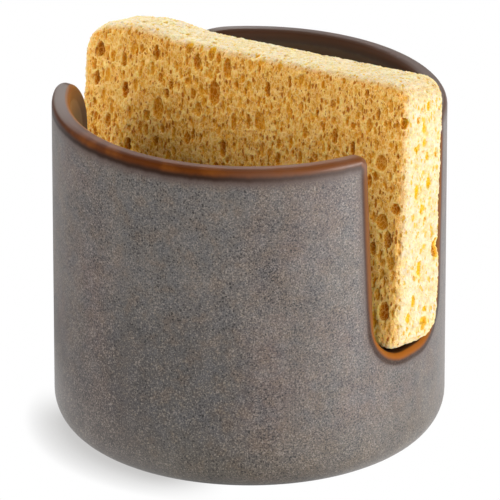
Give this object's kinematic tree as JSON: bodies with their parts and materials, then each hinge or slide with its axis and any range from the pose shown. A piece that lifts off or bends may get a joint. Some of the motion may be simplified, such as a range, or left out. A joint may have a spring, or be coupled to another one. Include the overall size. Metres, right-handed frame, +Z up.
{
  "type": "sponge holder",
  "caption": "Round glazed stoneware sponge holder: a straight-sided cup with opposite U-shaped slots cut from its rim, and a yellow cellulose sponge that stands on edge and lifts out.",
  "frame": {"origin": "on the table, at the centre of the foot ring, on the axis of the cup", "axes": "+Z up, X along the slots and the sponge with the picture's near slot at +X, -Y the front"},
  "size_m": [0.1089, 0.1, 0.1008],
  "materials": {
    "glaze": "gloss",
    "cellulose": "matte"
  },
  "bodies": {
    "holder": {"stoneware_cup": "glaze"},
    "sponge": {"sponge": "cellulose"}
  },
  "joints": [
    {"name": "sponge_lift", "type": "slide", "parent": "holder", "child": "sponge", "axis": [0, 0, 1], "range_m": [0, 0.07]}
  ]
}
